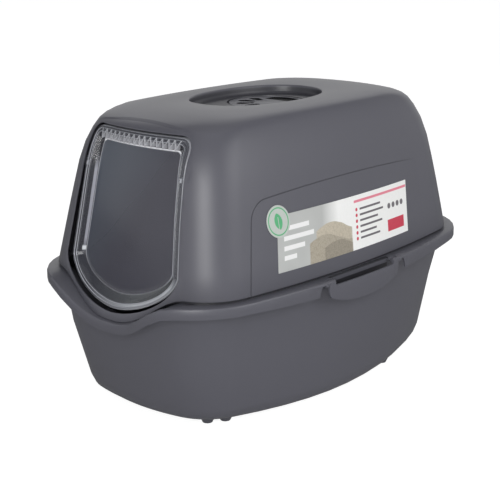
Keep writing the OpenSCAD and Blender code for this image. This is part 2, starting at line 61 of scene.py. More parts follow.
class BoxSettings(bpy.types.PropertyGroup):
    plastic: FloatVectorProperty(
        name="Plastic", description="Colour of the moulded tray and hood", subtype="COLOR",
        size=3, min=0, max=1, default=(0.105, 0.105, 0.124))
    clear: FloatVectorProperty(
        name="Clear plastic", description="Tint of the flap's sunk pane", subtype="COLOR",
        size=3, min=0, max=1, default=(0.070, 0.070, 0.090))
    paper: FloatVectorProperty(
        name="Label ground", description="Ground colour of the side label", subtype="COLOR",
        size=3, min=0, max=1, default=(0.93, 0.93, 0.91))
    green: FloatVectorProperty(
        name="Sticker green", description="Colour of the round sticker's ring", subtype="COLOR",
        size=3, min=0, max=1, default=(0.10, 0.44, 0.20))
    edge_round: FloatProperty(
        name="Edge rounding", description="Rounding of the moulded edges", unit="LENGTH",
        min=0.0, max=0.003, default=0.0009)
    rib_count: IntProperty(
        name="Flap ribs", description="Number of V-shaped ribs along the flap's top",
        min=5, max=25, default=15)
    bevel_depth: FloatProperty(
        name="Pane depth", description="How far the flap's pane is sunk behind its edge",
        unit="LENGTH", min=0.004, max=0.0095, default=0.0095)


class StageSettings(bpy.types.PropertyGroup):
    azimuth: FloatProperty(
        name="Azimuth", description="Camera's angle round the box from its front", subtype="ANGLE",
        default=math.radians(40.97))
    elevation: FloatProperty(
        name="Elevation", description="Camera's angle above the floor", subtype="ANGLE",
        default=math.radians(14.38))
    distance: FloatProperty(
        name="Distance", description="From the camera to the point that it looks at",
        unit="LENGTH", default=1.5453)
    lens: FloatProperty(name="Lens", description="Focal length in millimetres", default=85.74)


# ---- shader maths -----------------------------------------------------------------------


class Socket:
    """A shader socket that takes part in Python expressions."""

    def __init__(self, tree, out):
        self.tree, self.out = tree, out

    def _math(self, kind, *values):
        return self.tree.node("ShaderNodeMath", {"operation": kind}, *values)

    def __add__(self, other): return self._math("ADD", self, other)
    def __radd__(self, other): return self._math("ADD", other, self)
    def __sub__(self, other): return self._math("SUBTRACT", self, other)
    def __rsub__(self, other): return self._math("SUBTRACT", other, self)
    def __mul__(self, other): return self._math("MULTIPLY", self, other)
    def __rmul__(self, other): return self._math("MULTIPLY", other, self)
    def __truediv__(self, other): return self._math("DIVIDE", self, other)
    def __gt__(self, other): return self._math("GREATER_THAN", self, other)
    def __lt__(self, other): return self._math("LESS_THAN", self, other)

    def call(self, kind, *values): return self._math(kind, self, *values)

    def size(self): return self.call("ABSOLUTE")

    def clamp(self): return self.call("MINIMUM", 1.0).call("MAXIMUM", 0.0)


class Recipe:
    """One material and its node tree."""

    def __init__(self, name):
        old = bpy.data.materials.get(name)
        if old:
            bpy.data.materials.remove(old)
        self.material = bpy.data.materials.new(name)
        self.material.use_nodes = True
        self.tree = self.material.node_tree
        self.tree.nodes.clear()
        self.end = self.tree.nodes.new("ShaderNodeOutputMaterial")

    def put(self, socket, value):
        """Links a socket to a value, or sets it to a plain one."""
        if isinstance(value, Socket):
            self.tree.links.new(value.out, socket)
        else:
            socket.default_value = value

    def node(self, kind, settings, *values, out=0, **named):
        """A node with its settings, and its sockets filled by place or by name."""
        made = self.tree.nodes.new(kind)
        for key, value in settings.items():
            setattr(made, key, value)
        for key, value in list(enumerate(values)) + list(named.items()):
            self.put(made.inputs[key.replace("_", " ") if isinstance(key, str) else key], value)
        return Socket(self, made.outputs[out])

    def axes(self, vector):
        """A vector's three parts."""
        made = self.tree.nodes.new("ShaderNodeSeparateXYZ")
        self.tree.links.new(vector.out, made.inputs[0])
        return [Socket(self, part) for part in made.outputs]

    def coords(self):
        """The point on the piece, in metres in the object's own frame."""
        return self.node("ShaderNodeTexCoord", {}, out=3)

    def noise(self, coords, scale, detail=2.0):
        return self.node("ShaderNodeTexNoise", {}, Vector=coords, Scale=scale, Detail=detail)

    def speckle(self, coords, scale):
        return self.node("ShaderNodeTexVoronoi", {}, Vector=coords, Scale=scale)

    def bump(self, strength, distance, height):
        return self.node("ShaderNodeBump", {}, Strength=strength, Distance=distance, Height=height)

    def mix(self, share, a, b):
        """Colour a where share is 0, and b where it is 1."""
        made = self.tree.nodes.new("ShaderNodeMix")
        made.data_type = "RGBA"
        for key, value in (("Factor_Float", share), ("A_Color", a), ("B_Color", b)):
            self.put(next(s for s in made.inputs if s.identifier == key), value)
        return Socket(self, next(s for s in made.outputs if s.identifier == "Result_Color"))

    def finish(self, shader):
        """Sends a shader to the tree's output."""
        self.tree.links.new(shader.out, self.end.inputs[0])

    def surface(self, **values):
        made = self.node("ShaderNodeBsdfPrincipled", {}, **values)
        self.finish(made)
        return made


class Surround(Recipe):
    """The world and its node tree."""

    def __init__(self, name):
        self.world = bpy.data.worlds.new(name)
        self.world.use_nodes = True
        self.tree = self.world.node_tree
        self.tree.nodes.clear()
        self.end = self.tree.nodes.new("ShaderNodeOutputWorld")


def rgba(colour, k=1.0):
    """A colour k times as bright, with full alpha."""
    return tuple(c * k for c in colour[:3]) + (1.0,)


def step(v, low, high):
    """0 below low, 1 above high, straight between."""
    return ((v - low) / (high - low)).clamp()


def between(v, low, high, soft=0.0004):
    """1 between low and high, with a soft edge."""
    return ((v - low) / soft + 0.5).clamp() * ((high - v) / soft + 0.5).clamp()


def disc(u, v, cu, cv, radius, soft=0.0005):
    """1 inside a circle, with a soft edge."""
    du, dv = u - cu, v - cv
    away = (du * du + dv * dv).call("SQRT")
    return ((radius - away) / soft + 0.5).clamp()


# ---- the hood's front face, as in the part's source, in millimetres ----------------------

RIM_Z, ROOF_Z, MIDDLE_Y = 167.0, 361.0, -2.31
# Half width, and how much of it the lean, the shoulder and the roof edge take off; each
# rounding is its height and its reach
HOOD_W, SIDE_LEAN, SIDE_SHOULDER, SIDE_EDGE = 161.5, 43.0, (70, 20), (4.3, 22.5)
# The same for the reach to the front, which also curves
HOOD_F, FRONT_LEAN, FRONT_CURVE, END_SHOULDER, END_EDGE = 262.5, 34.6, 5.6, (62, 24), (15, 48)
# Corner radius, what the rise takes off it and the share of the rise that does so
HOOD_R, HOOD_R_LESS, HOOD_R_RISE = 66.0, 6.4, 0.68
# Bow of the sides and of the front at the rim, and what the rise takes off each
SIDE_BOW, SIDE_BOW_LESS, END_BOW, END_BOW_LESS = 13.4, 7.3, 7.4, 2.2
# What counts as beside the doorway: half width, lowest, highest and furthest back
BESIDE_W, BESIDE_LOW, BESIDE_HIGH, BESIDE_BACK = 98.5, 134.0, 345.5, -150.0
# Depths behind the face where the painted shade on the doorway's walls starts and is full
WALL_SHADE = (1.2, 1.9)


def ease(z, height, reach):
    """How far a rounding of that height under the roof has pulled in at height z."""
    q = min(1.0, max(0.0, (z - ROOF_Z + height) / height))
    return reach * (1 - math.sqrt(1 - q * q))


def front_face(x, z):
    """The hood's front face, at x and height z in millimetres."""
    u = (z - RIM_Z) / (ROOF_Z - RIM_Z)
    w = HOOD_W - SIDE_LEAN * u - ease(z, *SIDE_SHOULDER) - ease(z, *SIDE_EDGE)
    f = HOOD_F - FRONT_LEAN * u - FRONT_CURVE * u ** 3 - ease(z, *END_SHOULDER) - ease(z, *END_EDGE)
    r = HOOD_R - HOOD_R_LESS * min(1, u / HOOD_R_RISE)
    straight = w - r - (SIDE_BOW - SIDE_BOW_LESS * u)
    s = min(1, abs(x) / straight)
    over = max(0, abs(x) - straight)
    bow = (END_BOW - END_BOW_LESS * u) * s * s
    return MIDDLE_Y - (f - r - bow + math.sqrt(max(0, r * r - over * over)))


def behind_face(x, y, z):
    """1 on the doorway's own walls and the hood's inside beside them, behind its front face, where
    painted shade goes.

    The same face as in front_face, as shader maths, for heights below the roof's edge."""
    x, y, z = x / MM, y / MM, z / MM

    def curl(height, reach):
        q = ((z - ROOF_Z + height) / height).clamp()
        return (1.0 - (1.0 - q * q).call("SQRT")) * reach

    u = (z - RIM_Z) / (ROOF_Z - RIM_Z)
    w = HOOD_W - u * SIDE_LEAN - curl(*SIDE_SHOULDER)
    f = HOOD_F - u * FRONT_LEAN - u * u * u * FRONT_CURVE - curl(*END_SHOULDER)
    r = HOOD_R - (u / HOOD_R_RISE).call("MINIMUM", 1.0) * HOOD_R_LESS
    straight = w - r - SIDE_BOW + u * SIDE_BOW_LESS
    away = x.size()
    share = (away / straight).call("MINIMUM", 1.0)
    over = (away - straight).call("MAXIMUM", 0.0)
    bow = share * share * (END_BOW - u * END_BOW_LESS)
    face = MIDDLE_Y - (f - r - bow + (r * r - over * over).call("SQRT"))
    beside_door = (away < BESIDE_W) * (z < BESIDE_HIGH) * (z > BESIDE_LOW) * (y < BESIDE_BACK)
    return step(y - face, *WALL_SHADE) * beside_door


# ---- moulded lines and painted shade, in metres ------------------------------------------

# The shallow panel in each side: height of its top at mid length and how that falls to the ends,
# place of its front edge at its foot, that edge's slope, its corner's radius and its foot's height
PANEL_TOP, PANEL_ARCH, PANEL_FRONT, PANEL_SLOPE, PANEL_CORNER = 0.2775, 0.25, 0.1923, 0.207, 0.020
PANEL_FOOT = 0.174
# Where the panel's line begins and ends to fade towards the rear
PANEL_FADE = (0.085, 0.150)
# The brow over the doorway: its height, how it falls to the sides, where it fades out there, and
# how far forward it lies
BROW_TOP, BROW_ARCH, BROW_FADE, BROW_FRONT = 0.3532, 1.05, (0.068, 0.084), -0.17
# The front dip of the hood's lower edge: half width, fullness, depth and the edge's height
DIP_HALF, DIP_FULL, DIP_DEPTH, EDGE_Z = 0.104, 1.3, 0.0402, 0.1700
# The oval hollow in the roof: half width, half length, middle, fullness, a height under its floor,
# and the heights where its painted shade starts to fade and ends
HOLLOW_W, HOLLOW_L, HOLLOW_Y, HOLLOW_FULL = 0.0648, 0.1008, -0.0143, 2.2
HOLLOW_LOW, HOLLOW_FADE = 0.335, (0.3575, 0.3600)
# The slot over each clip: its back's reach from the middle, mid point and half length, and the
# heights between which its back is left without the painted shadow lines
SLOT_X, SLOT_Y, SLOT_HALF, SLOT_LIGHT = (0.1605, 0.1655), -0.0138, 0.0590, (0.1602, 0.1651)


def side_panel(y, z):
    """Distance inside the shallow panel that is moulded into each side of the hood."""
    top = PANEL_TOP - (y * y) * PANEL_ARCH - z
    front = y + PANEL_FRONT - (z - PANEL_FOOT) * PANEL_SLOPE
    from_top = (PANEL_CORNER - top).call("MAXIMUM", 0.0)
    from_front = (PANEL_CORNER - front).call("MAXIMUM", 0.0)
    return PANEL_CORNER - (from_top * from_top + from_front * from_front).call("SQRT")


def brow_line(x, z):
    """Distance under the brow that runs over the doorway."""
    return BROW_TOP - (x * x) * BROW_ARCH - z


def under_hood(x, y, z):
    """1 below the lower edge of the hood's outer wall, where its foot stands back and gets painted
    shade.
    """
    share = (x.size() / DIP_HALF).call("MINIMUM", 1.0).call("POWER", DIP_FULL)
    dip = ((share * math.pi).call("COSINE") * 0.5 + 0.5) * (y < 0.0)
    return z < EDGE_Z - dip * DIP_DEPTH


def in_hollow(x, y, z):
    """1 on the floor and walls of the hollow in the roof, where painted shade goes, fading below
    its lip.
    """
    across = (x / HOLLOW_W).size().call("POWER", HOLLOW_FULL)
    along = ((y - HOLLOW_Y) / HOLLOW_L).size().call("POWER", HOLLOW_FULL)
    return ((across + along) < 1.0) * (z > HOLLOW_LOW) * (1.0 - step(z, *HOLLOW_FADE))


def in_slot(x, y, z):
    """1 in the two painted shadow lines along the back of the slot over each clip."""
    away = x.size()
    back = (away > SLOT_X[0]) * (away < SLOT_X[1]) * ((y - SLOT_Y).size() < SLOT_HALF)
    return back * (1.0 - between(z, *SLOT_LIGHT, 0.0008))


# ---- materials --------------------------------------------------------------------------


def moulded_plastic(name, colour, lines=False, dark_below=None, slots=False):
    """Satin grey moulding. lines adds the hood's moulded lines, with painted shade in the side
    panel's crease, under the hood's foot, on the doorway's walls and in the roof's hollow; slots
    adds the painted shadow lines behind the clips; and dark_below paints shade on what lies below
    that height."""
    r = Recipe(name)
    coords = r.coords()
    x, y, z = r.axes(coords)
    cloud = r.noise(coords, 7.0, 3.0)
    fine = r.noise(coords, 900.0)
    flow = r.noise(coords, 38.0)
    tone = r.mix(cloud, rgba(colour, 0.95), rgba(colour, 1.06))
    tone = r.mix(fine * 0.12, tone, rgba(colour, 1.14))
    bump = r.bump(0.35, 0.00006, fine * 0.08 + flow * 1.5)

    def shade(share, k):
        """The tone moved by share towards k times the colour."""
        return r.mix(share, tone, rgba(colour, k))

    if lines:
        inside = side_panel(y, z)
        fade = 1.0 - step(y, *PANEL_FADE)
        panel = step(inside, -0.0007, 0.0007) * fade
        over_door = (1.0 - step(x.size(), *BROW_FADE)) * (y < BROW_FRONT)
        ledge = step(brow_line(x, z), -0.0012, 0.0012) * over_door
        bump = r.node("ShaderNodeBump", {"invert": True}, Strength=1.0, Distance=0.0009,
                      Height=panel + ledge * 1.3, Normal=bump)
        # painted shade: a dark line in the crease along the side panel's outline
        panel_crease_shade = (1.0 - step(inside.size(), 0.0003, 0.0010)) * fade
        tone = shade(panel_crease_shade * 0.45, 0.45)
        # painted shade on the hood's foot, under its outer wall
        tone = shade(under_hood(x, y, z) * 0.8, 0.15)
        # painted shade on the doorway's walls
        tone = shade(behind_face(x, y, z) * 0.70, 0.20)
        # painted shade in the roof's hollow
        tone = shade(in_hollow(x, y, z) * 0.65, 0.20)
    if slots:
        # painted shadow lines along the back of each clip's slot
        tone = shade(in_slot(x, y, z) * 0.85, 0.12)
    if dark_below:
        # painted shade: near black on the vent cover's hole walls and underside
        tone = shade(z < dark_below, 0.12)
    r.surface(Base_Color=tone, Roughness=0.32 + fine * 0.06 + cloud * 0.06, Normal=bump,
              IOR=PLASTIC_IOR)
    return r.material


# The flap's UV map holds each point's millimetres inwards from its outline, divided by this
ACROSS_SCALE = 20.0
# In the same millimetres: the flange, the slope, the middle and half width of the bends' painted
# highlights, the pane's edge with its painted highlight line, and where the pane gets denser
FLANGE, SLOPE, BENDS, PANE_LINE = (-1.0, 7.0), (7.0, 15.8), ((3.1, 0.3), (6.9, 0.4)), (15.25, 15.95)
DENSE_PANE = (15.6, 15.9)
# Heights in metres over which the flap's foot begins, and the pins' and knobs' place in the map
FOOT_RISE, PIN_ACROSS, KNOB_ACROSS, PANE_ACROSS = (0.178, 0.192), 1.5, 0.2, 18.0


def clear_plastic(name, pane):
    """Clear moulding with painted highlights along its bends and edges and painted reflections on
    its slope and pane, whose pane shows the dark inside.
    """
    r = Recipe(name)
    coords = r.coords()
    x, _, z = r.axes(coords)
    g = r.axes(r.node("ShaderNodeUVMap", {}))[0] * ACROSS_SCALE
    haze = r.noise(coords, 9.0)
    left = x < -0.02
    low = 1.0 - step(z, *FOOT_RISE)
    # painted highlights along the outline, the bends and the pane's edge
    edge = between(g, -0.5, 0.7, 0.4)
    for at, half in BENDS:
        edge = edge.call("MAXIMUM", between(g, at - half, at + half, 0.35))
    edge = edge.call("MAXIMUM", between(g, *PANE_LINE, 0.35) * (1.0 - low * 0.85))
    flange = between(g, *FLANGE, 0.6)
    bevel = between(g, *SLOPE, 0.6)
    # painted reflection: a pale streak down the left slope, and a painted highlight at its bright
    # foot
    slope_streak_reflection = between(g, 11.6, 14.6, 0.5) * left * between(z, 0.198, 0.300, 0.020)
    foot = between(g, 10.8, 14.9, 0.5) * left * between(z, 0.1935, 0.1985, 0.002)
    # painted highlights on the flange's lower edge and in a line under the ribs, and painted shade
    # on the slope above left, which lets more of the dark inside through
    lit = step(x, -0.050, 0.030)
    sill_highlight = low * lit * (between(g, 3.6, 6.4, 0.6) + between(g, 0.4, 2.6, 0.6) * 0.6)
    crest_highlight = between(g, 14.9, 16.0, 0.4) * step(z, 0.3225, 0.3240)
    dim = bevel * step(z, 0.292, 0.308) * left
    # painted reflection: the pane paler and bluer towards its upper left
    pale = step(z - x * 1.6, 0.220, 0.400)
    colour = r.mix(haze, rgba(pane, 0.94), rgba(pane, 1.06))
    # painted light: the slope paler at its foot on the lit right side
    slope = r.mix(low * lit, (0.075, 0.077, 0.092, 1), (0.165, 0.175, 0.185, 1))
    for share, tint in (
        (pale, (pane[0] * 1.40, pane[1] * 1.62, pane[2] * 1.60, 1)),
        (flange, (0.120, 0.124, 0.142, 1)),
        (bevel, slope),
        (slope_streak_reflection, (0.40, 0.405, 0.46, 1)),
        (edge, (0.46, 0.47, 0.51, 1)),
        (foot, (0.80, 0.82, 0.86, 1)),
        (sill_highlight, (0.50, 0.52, 0.55, 1)),
        (crest_highlight, (0.92, 0.93, 0.96, 1)),
    ):
        colour = r.mix(share, colour, tint)
    cover = 0.62 + flange * 0.03 + low * bevel * 0.1 + step(g, *DENSE_PANE) * 0.22
    # the painted highlights and shade also change how see-through the shell is
    cover = cover + (slope_streak_reflection + foot + sill_highlight + crest_highlight) * 0.25 + edge * 0.28 - dim * 0.34
    cover = cover.call("MINIMUM", 0.95).call("MAXIMUM", 0.25)
    r.surface(Base_Color=colour, Roughness=0.10 + haze * 0.08, IOR=PLASTIC_IOR, Alpha=cover)
    return r.material


def rib_plastic(name):
    """Clear ribs painted pale all over, a painted highlight standing in for the light along their
    edges.
    """
    r = Recipe(name)
    haze = r.noise(r.coords(), 60.0)
    colour = r.mix(haze, (0.42, 0.425, 0.46, 1), (0.74, 0.745, 0.78, 1))
    r.surface(Base_Color=colour, Roughness=0.10 + haze * 0.1, IOR=PLASTIC_IOR,
              Alpha=0.70 + haze * 0.2)
    return r.material


def carbon_felt(name):
    """Black fuzzy felt."""
    r = Recipe(name)
    coords = r.coords()
    fuzz = r.noise(coords, 650.0, 4.0)
    bump = r.bump(0.8, 0.0007, fuzz + r.speckle(coords, 420.0))
    r.surface(Base_Color=r.mix(fuzz, (0.012, 0.012, 0.013, 1), (0.05, 0.05, 0.052, 1)),
              Roughness=0.95, Normal=bump)
    return r.material


# Colours of the prints
WHITE_INK, DARK_INK, DOT_INK = (0.88, 0.88, 0.87, 1), (0.13, 0.12, 0.13, 1), (0.16, 0.15, 0.16, 1)
RED_INK, PINK_INK = (0.62, 0.045, 0.085, 1), (0.80, 0.24, 0.31, 1)
STICKER_PALE = (0.50, 0.54, 0.50, 1)
# How far the label's ends lean to the rear for each metre of height, and where its grey field ends
LABEL_LEAN, GREY_END = 0.1746, (0.075, 0.105)
# Left, right, bottom and top
PINK_LINE, RED_BLOCK = (0.136, 0.252, 0.0545, 0.0575), (0.206, 0.244, 0.008, 0.022)
# Pale bars on the grey field: start, end and height, and how tall they are
PALE_BARS = ((0.010, 0.052, 0.0445), (0.010, 0.060, 0.0335), (0.010, 0.044, 0.0225),
             (0.010, 0.030, 0.0120))
PALE_BAR_TALL = 0.0052
# Sand dunes: start, lift and tone, from the furthest to the nearest
DUNES = ((0.064, 0.030, 0.62), (0.052, 0.018, 0.48), (0.078, 0.008, 0.36))
# Lengths of the dark bars, from the top, their start and height, and the rows' height and spacing
DARK_BARS = (0.044, 0.050, 0.038, 0.047, 0.034, 0.041)
DARK_BAR_LEFT, DARK_BAR_TALL, ROW_TOP, ROW_PITCH = 0.147, 0.0024, 0.0450, 0.0068
# The red dot in each row: place, lift over the bar's foot, and radius
RED_DOT_AT, RED_DOT_LIFT, RED_DOT_R = 0.1405, 0.0014, 0.0021
# The four dark dots: first place, spacing, height and radius
DOTS_AT, DOTS_PITCH, DOTS_HEIGHT, DOTS_R = 0.2105, 0.0098, 0.0385, 0.0034
# The sticker's ring, from inside to outside. Its leaf is where two discs overlap: how far each lies
# to its side, one below and one above the middle, their radius, and the vein's half width and top
RING_IN, RING_OUT = 0.0145, 0.0160
LEAF_SIDE, LEAF_TILT, LEAF_R, VEIN_HALF, VEIN_TOP = 0.005, 0.001, 0.0110, 0.0005, 0.005


def label_print(name, ground):
    """Pale film with plain coloured bars and blocks, and no lettering."""
    r = Recipe(name)
    coords = r.coords()
    _, y, z = r.axes(coords)
    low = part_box("side_label")[0]
    fibre = r.noise(coords, 300.0)
    wash = r.noise(coords, 22.0)
    sand = r.speckle(coords, 520.0)
    v = z - low.z
    u = y - low.y - v * LABEL_LEAN
    colour = r.mix(fibre, rgba(ground, 0.97), rgba(ground, 1.04))
    grey = r.mix(wash, (0.43, 0.44, 0.43, 1), (0.56, 0.57, 0.55, 1))
    colour = r.mix(1.0 - step(u, *GREY_END), colour, grey)

    def box(left, right, bottom, top, ink):
        """The print with a plain block of ink on it."""
        return r.mix(between(u, left, right) * between(v, bottom, top), colour, ink)

    for start, end, height in PALE_BARS:
        colour = box(start, end, height, height + PALE_BAR_TALL, WHITE_INK)
    for start, lift, tone in DUNES:
        wave = ((u - start) * 62.0).call("SINE") * 0.006 + wash * 0.010 + lift
        dune = between(u, start, 0.130, 0.002) * (v < wave)
        colour = r.mix(dune, colour, r.mix(sand, (tone, tone * 0.90, tone * 0.72, 1),
                                           (tone * 0.72, tone * 0.64, tone * 0.50, 1)))
    colour = box(*PINK_LINE, PINK_INK)
    for row, width in enumerate(DARK_BARS):
        height = ROW_TOP - ROW_PITCH * row
        dot = disc(u, v, RED_DOT_AT, height + RED_DOT_LIFT, RED_DOT_R)
        colour = r.mix(dot, colour, RED_INK)
        colour = box(DARK_BAR_LEFT, DARK_BAR_LEFT + width, height, height + DARK_BAR_TALL, DARK_INK)
    colour = box(*RED_BLOCK, RED_INK)
    for column in range(4):
        dot = disc(u, v, DOTS_AT + DOTS_PITCH * column, DOTS_HEIGHT, DOTS_R)
        colour = r.mix(dot, colour, DOT_INK)
    r.surface(Base_Color=colour, Roughness=0.30 + wash * 0.08, Normal=r.bump(0.1, 0.0001, fibre),
              Coat_Weight=0.25)
    return r.material


def sticker_print(name, green):
    """Green ring on a pale disc with one plain leaf shape."""
    r = Recipe(name)
    coords = r.coords()
    _, y, z = r.axes(coords)
    low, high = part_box("round_sticker")
    cy, cz = (low.y + high.y) / 2, (low.z + high.z) / 2
    fibre = r.noise(coords, 300.0)
    colour = r.mix(fibre, STICKER_PALE, (0.56, 0.60, 0.56, 1))
    ring = disc(y, z, cy, cz, RING_OUT) - disc(y, z, cy, cz, RING_IN)
    colour = r.mix(ring, colour, rgba(green))
    # the leaf is where two discs overlap
    leaf = (disc(y, z, cy - LEAF_SIDE, cz - LEAF_TILT, LEAF_R)
            * disc(y, z, cy + LEAF_SIDE, cz + LEAF_TILT, LEAF_R))
    vein = between(y, cy - VEIN_HALF, cy + VEIN_HALF, 0.0003) * (z < cz + VEIN_TOP)
    colour = r.mix(leaf, colour, r.mix(vein, rgba(green), STICKER_PALE))
    r.surface(Base_Color=colour, Roughness=0.32 + fibre * 0.05, Coat_Weight=0.25)
    return r.material


def dress(obj, material):
    """Gives a piece its one material."""
    obj.data.materials.clear()
    obj.data.materials.append(material)


# ---- shared modelling steps -------------------------------------------------------------


def alone(obj):
    """Selects one object and nothing else."""
    bpy.ops.object.select_all(action="DESELECT")
    obj.select_set(True)
    bpy.context.view_layer.objects.active = obj


# Edges sharper than this are rounded, and the rest are smoothed; the flap's own bends are closer
SHARP_ANGLE, FLAP_SHARP_ANGLE = math.radians(32), math.radians(28)
EDGE_SEGMENTS = 2
# Rounding of the clips' and the vent cover's edges
CLIP_ROUND, VENT_ROUND = 0.0006, 0.0004


def finish_edges(obj, width):
    """Rounds the sharp edges and smooths the rest."""
    alone(obj)
    if width > 0:
        bevel = obj.modifiers.new("edges", "BEVEL")
        bevel.width, bevel.segments = width, EDGE_SEGMENTS
        bevel.limit_method, bevel.angle_limit = "ANGLE", SHARP_ANGLE
        bevel.use_clamp_overlap = True
        bpy.ops.object.modifier_apply(modifier=bevel.name)
    bpy.ops.object.shade_smooth_by_angle(angle=SHARP_ANGLE)


def from_node(node, name, body, material, width):
    """A finished copy of a CAD node, with its triangles joined and its edges rounded by width."""
    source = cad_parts[node]
    made = bpy.data.objects.new(name, source.data.copy())
    bpy.context.scene.collection.objects.link(made)
    alone(made)
    bpy.ops.object.mode_set(mode="EDIT")
    bpy.ops.mesh.select_all(action="SELECT")
    bpy.ops.mesh.remove_doubles(threshold=0.00001)
    bpy.ops.mesh.customdata_custom_splitnormals_clear()
    bpy.ops.mesh.tris_convert_to_quads(face_threshold=math.radians(8),
                                       shape_threshold=math.radians(60))
    bpy.ops.object.mode_set(mode="OBJECT")
    finish_edges(made, width)
    dress(made, material)
    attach(made, body)
    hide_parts(node)


# ---- flap -------------------------------------------------------------------------------

# All in millimetres: top, lowest point, half width at the shoulder and at the top
DOOR_TOP, DOOR_LOW, DOOR_W, DOOR_TOP_W = 341.5, 142.0, 87.0, 78.0
# Height of the shoulder, how full the lower curve is, corner radius, setback behind the hood's face
DOOR_SHOULDER, DOOR_CURVE, DOOR_CORNER, DOOR_SET = 192.0, 1.75, 14.0, 3.2
# How far the outline swells beside the shoulder, over what height, and how much deeper the flap
# lies there, from SINK_TOP down over SINK_OVER
FLAP_SWELL, SWELL_OVER, DOOR_SINK, SINK_TOP, SINK_OVER = 1.5, 55, 1.3, 300, 105
# The pins: height, radius, how far they lie behind the hood's face beside the doorway, and sides
PIN_Z, PIN_R, PIN_IN, PIN_SIDES = 297.5, 2.5, 9.0, 28
# Width of the edge round the pane, the shell's thickness, the pane's middle height, and the least
# corner radius of an inner outline
PANE_IN, FLAP_SHELL, PANE_MID, LEAST_CORNER = 15.6, 1.7, 245, 5
# Points along the lower curve, each side, each corner and half the top
LOW_N, SIDE_N, CORNER_N, TOP_N = 44, 16, 8, 12
# Faces of a block whose eight corners are given one end first
BLOCK = [(0, 1, 2, 3), (7, 6, 5, 4), (0, 4, 5, 1), (1, 5, 6, 2), (2, 6, 7, 3), (3, 7, 4, 0)]


def flap_half(z):
    """Half the flap's width at height z."""
    return DOOR_W + (DOOR_TOP_W - DOOR_W) * (z - DOOR_SHOULDER) / (DOOR_TOP - DOOR_SHOULDER)


def flap_face(x, z):
    """The flap's own front face, which lies a little deeper towards its foot."""
    return front_face(x, z) + DOOR_SET + DOOR_SINK * min(1, max(0, (SINK_TOP - z) / SINK_OVER))


def flap_outline(inset):
    """The flap's outline as (x, z) in millimetres, from its lowest point round to the right."""
    half = []
    power = 2 / DOOR_CURVE
    wide, tall = DOOR_W + FLAP_SWELL - inset, DOOR_SHOULDER - DOOR_LOW - inset
    for i in range(LOW_N + 1):
        a = math.radians(90 * i / LOW_N)
        half.append((wide * math.sin(a) ** power, DOOR_SHOULDER - tall * math.cos(a) ** power))
    end = DOOR_TOP - DOOR_CORNER
    for i in range(1, SIDE_N + 1):
        z = DOOR_SHOULDER + (end - DOOR_SHOULDER) * i / SIDE_N
        swell = FLAP_SWELL * max(0, 1 - (z - DOOR_SHOULDER) / SWELL_OVER)
        half.append((flap_half(z) + swell - inset, z))
    middle, radius = flap_half(end) - DOOR_CORNER, DOOR_CORNER - inset
    if radius < LEAST_CORNER:
        middle, radius = middle - (LEAST_CORNER - radius), LEAST_CORNER
    for i in range(1, CORNER_N):
        a = math.radians(90 * i / CORNER_N)
        half.append((middle + radius * math.cos(a),
                     DOOR_TOP - inset - radius + radius * math.sin(a)))
    for i in range(TOP_N, -1, -1):
        half.append((middle * i / TOP_N, DOOR_TOP - inset))
    return half + [(-x, z) for x, z in half[-2:0:-1]]


def add_mesh(name, points, faces, across=None):
    """A closed mesh from points in millimetres; across gives each point's place over the edge."""
    mesh = bpy.data.meshes.new(name)
    mesh.from_pydata([Vector(p) * MM for p in points], [], faces)
    if across:
        layer = mesh.uv_layers.new(name="across")
        for loop in mesh.loops:
            layer.data[loop.index].uv = (across[loop.vertex_index] / ACROSS_SCALE, 0.0)
    obj = bpy.data.objects.new(name, mesh)
    bpy.context.scene.collection.objects.link(obj)
    alone(obj)
    bpy.ops.object.mode_set(mode="EDIT")
    bpy.ops.mesh.select_all(action="SELECT")
    bpy.ops.mesh.normals_make_consistent(inside=False)
    bpy.ops.object.mode_set(mode="OBJECT")
    return obj


def cylinder_points(x0, x1, y, z, radius):
    """Points and faces of a cylinder along X."""
    count = PIN_SIDES
    points, faces = [], []
    for x in (x0, x1):
        for i in range(count):
            a = 2 * math.pi * i / count
            points.append((x, y + radius * math.cos(a), z + radius * math.sin(a)))
    for i in range(count):
        j = (i + 1) % count
        faces.append((i, j, count + j, count + i))
    faces.append(tuple(range(count - 1, -1, -1)))
    faces.append(tuple(range(count, 2 * count)))
    return points, faces


